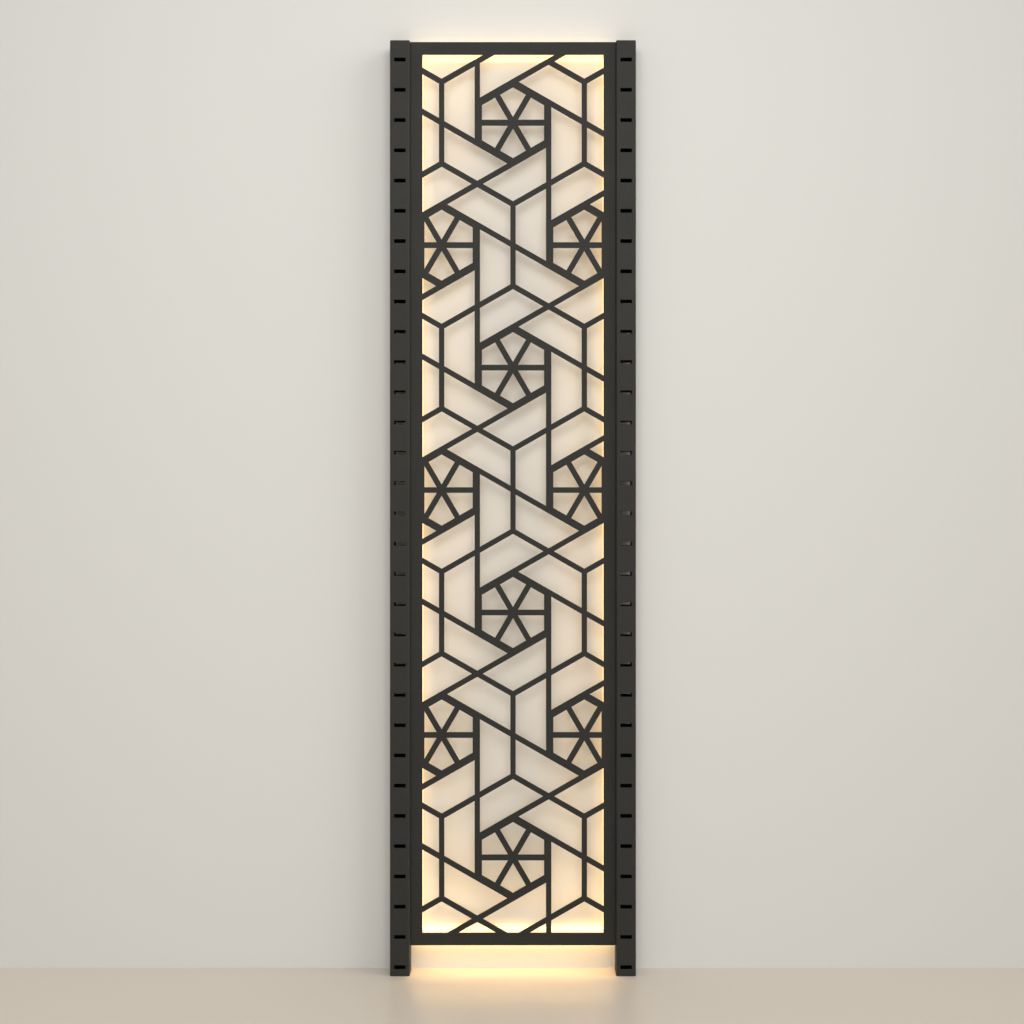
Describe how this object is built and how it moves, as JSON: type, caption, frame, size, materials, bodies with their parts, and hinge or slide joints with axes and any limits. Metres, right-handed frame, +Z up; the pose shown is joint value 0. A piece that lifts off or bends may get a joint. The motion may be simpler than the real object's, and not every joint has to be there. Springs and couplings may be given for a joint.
{
  "type": "mashrabiya screen",
  "caption": "Tall narrow wall screen of powder-coated metal: slotted square posts, a laser-cut star lattice panel between them and light strips behind its border",
  "frame": {"origin": "the middle of the left post's back face, on the wall plane, half way up the post; the feet are 1.179 m below it", "axes": "+Z up, +Y towards the wall behind the screen, +X from the left post to the right one, seen from the front"},
  "size_m": [0.62, 0.05, 2.3576],
  "materials": {
    "powder_coat": "charcoal powder coat, fine matt texture",
    "opal_diffuser": "opal acrylic, satin, lit warm white from inside"
  },
  "bodies": {
    "root": {"left_post": "powder_coat", "right_post": "powder_coat", "lattice_panel": "powder_coat", "top_light_strip": "opal_diffuser", "bottom_light_strip": "opal_diffuser", "left_light_strip": "opal_diffuser", "right_light_strip": "opal_diffuser"}
  },
  "joints": []
}
